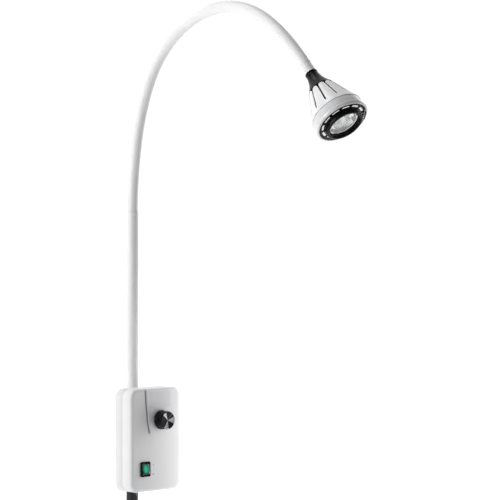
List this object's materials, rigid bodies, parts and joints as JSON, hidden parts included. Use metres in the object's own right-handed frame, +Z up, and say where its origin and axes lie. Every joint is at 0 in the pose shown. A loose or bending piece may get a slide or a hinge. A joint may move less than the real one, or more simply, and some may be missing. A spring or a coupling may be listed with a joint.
{
  "type": "examination lamp",
  "caption": "Hospital examination lamp: halogen spot head on a long flexible neck, control box with dimmer knob and rocker switch, and a steel mounting spigot.",
  "frame": {"origin": "centre of the lower end face of the mounting spigot", "axes": "+Z up along the spigot and tube, -Y out of the control box's front, +X to the right seen from the front"},
  "size_m": [0.102, 0.5122, 0.8182],
  "materials": {
    "white_plastic": "satin",
    "neck_sleeve": "satin",
    "black_plastic": "gloss",
    "chrome": "polished",
    "steel": "brushed",
    "aluminium": "spun",
    "copper": "enamelled wire",
    "ceramic": "matte",
    "circuit_board": "satin",
    "green_lens": "gloss",
    "rubber": "matte",
    "clear_glass": "polished",
    "mirror": "polished"
  },
  "bodies": {
    "base": {"spigot_plug": "rubber", "mounting_spigot": "chrome", "neck_tube": "white_plastic", "pole_bracket": "white_plastic", "pinch_screw_1": "steel", "pinch_screw_2": "steel", "bracket_screw_1": "steel", "bracket_screw_2": "steel", "rear_cover": "white_plastic", "front_cover": "white_plastic", "case_screw_1": "steel", "case_screw_2": "steel", "case_screw_3": "steel", "case_screw_4": "steel", "mains_inlet": "black_plastic", "inlet_pin_live": "steel", "inlet_pin_neutral": "steel", "inlet_pin_earth": "steel", "fuse_holder": "black_plastic", "fuse_cap": "black_plastic", "transformer_core": "steel", "transformer_coil": "copper", "transformer_clamp_1": "steel", "transformer_clamp_2": "steel", "dimmer_board": "circuit_board", "heat_sink": "aluminium", "dimmer_capacitor": "copper", "terminal_block": "circuit_board", "potentiometer": "steel", "rocker_housing": "black_plastic", "neck_root": "neck_sleeve"},
    "neck_1": {"neck_link_1": "neck_sleeve"},
    "neck_2": {"neck_link_2": "neck_sleeve"},
    "neck_3": {"neck_link_3": "neck_sleeve"},
    "neck_4": {"neck_link_4": "neck_sleeve"},
    "neck_5": {"neck_link_5": "neck_sleeve"},
    "neck_6": {"neck_link_6": "neck_sleeve"},
    "neck_7": {"neck_link_7": "neck_sleeve"},
    "neck_8": {"neck_link_8": "neck_sleeve"},
    "neck_9": {"neck_link_9": "neck_sleeve"},
    "neck_10": {"neck_link_10": "neck_sleeve"},
    "neck_11": {"neck_link_11": "neck_sleeve"},
    "head": {"neck_end": "neck_sleeve", "lamp_housing": "black_plastic", "neck_nut": "steel", "head_shell": "white_plastic", "reflector": "mirror", "halogen_capsule": "clear_glass", "lamp_pin_1": "steel", "lamp_pin_2": "steel", "lamp_socket": "ceramic", "socket_plate": "steel"},
    "front_ring": {"front_ring": "black_plastic", "ring_latch": "black_plastic", "cover_glass": "clear_glass", "glass_gasket": "rubber"},
    "knob": {"knob_body": "black_plastic", "knob_face": "aluminium", "knob_shaft": "steel"},
    "rocker": {"rocker_button": "green_lens"}
  },
  "joints": [
    {"name": "lower_bend", "type": "hinge", "parent": "base", "child": "neck_1", "pos_m": [0, -0.00068, 0.53299], "axis": [1, 0.002, 0.0001], "range_deg": [-17, 8]},
    {"name": "lower_bend_2", "type": "hinge", "parent": "neck_1", "child": "neck_2", "pos_m": [0, -0.00589, 0.58471], "axis": [1, -0.002, -0.0003], "range_deg": [-17, 8]},
    {"name": "lower_side", "type": "hinge", "parent": "neck_2", "child": "neck_3", "pos_m": [0, -0.01536, 0.63582], "axis": [0, 0.9703, 0.2419], "range_deg": [-22, 22]},
    {"name": "lower_bend_3", "type": "hinge", "parent": "neck_3", "child": "neck_4", "pos_m": [0, -0.03163, 0.68515], "axis": [1, -0.0018, -0.0008], "range_deg": [-17, 8]},
    {"name": "lower_bend_4", "type": "hinge", "parent": "neck_4", "child": "neck_5", "pos_m": [0, -0.05658, 0.73064], "axis": [1, 0.0016, 0.0012], "range_deg": [-17, 8]},
    {"name": "lower_side_2", "type": "hinge", "parent": "neck_5", "child": "neck_6", "pos_m": [0, -0.09259, 0.76792], "axis": [0, 0.6157, 0.788], "range_deg": [-22, 22]},
    {"name": "upper_bend", "type": "hinge", "parent": "neck_6", "child": "neck_7", "pos_m": [0, -0.13738, 0.79405], "axis": [1, 0.0008, 0.0018], "range_deg": [-17, 8]},
    {"name": "upper_bend_2", "type": "hinge", "parent": "neck_7", "child": "neck_8", "pos_m": [0, -0.18729, 0.80812], "axis": [1, -0.0003, -0.002], "range_deg": [-17, 8]},
    {"name": "upper_side", "type": "hinge", "parent": "neck_8", "child": "neck_9", "pos_m": [0, -0.23911, 0.80801], "axis": [0, -0.1478, 0.989], "range_deg": [-22, 22]},
    {"name": "upper_bend_3", "type": "hinge", "parent": "neck_9", "child": "neck_10", "pos_m": [0, -0.28869, 0.79296], "axis": [1, 0.0008, -0.0018], "range_deg": [-17, 8]},
    {"name": "upper_bend_4", "type": "hinge", "parent": "neck_10", "child": "neck_11", "pos_m": [0, -0.33264, 0.76537], "axis": [1, -0.0012, 0.0016], "range_deg": [-17, 8]},
    {"name": "upper_side_2", "type": "hinge", "parent": "neck_11", "child": "head", "pos_m": [0, -0.37141, 0.73077], "axis": [0, -0.7133, 0.7009], "range_deg": [-22, 22]},
    {"name": "ring_twist", "type": "hinge", "parent": "head", "child": "front_ring", "pos_m": [0, -0.40086, 0.6981], "axis": [0, -0.6561, -0.7547], "range_deg": [0, 20]},
    {"name": "knob_turn", "type": "hinge", "parent": "base", "child": "knob", "pos_m": [0.0083, -0.0614, 0.1806], "axis": [0, -1, 0], "range_deg": [-140, 140]},
    {"name": "rocker_tilt", "type": "hinge", "parent": "base", "child": "rocker", "pos_m": [-0.0229, -0.059, 0.1054], "axis": [1, 0, 0], "range_deg": [0, 18]}
  ],
  "couplings": [
    {"joint": "lower_bend_2", "follows": "lower_bend", "ratio": 1},
    {"joint": "lower_bend_3", "follows": "lower_bend", "ratio": 1},
    {"joint": "lower_bend_4", "follows": "lower_bend", "ratio": 1},
    {"joint": "upper_bend_2", "follows": "upper_bend", "ratio": 1},
    {"joint": "upper_bend_3", "follows": "upper_bend", "ratio": 1},
    {"joint": "upper_bend_4", "follows": "upper_bend", "ratio": 1},
    {"joint": "lower_side_2", "follows": "lower_side", "ratio": 1},
    {"joint": "upper_side_2", "follows": "upper_side", "ratio": 1}
  ]
}
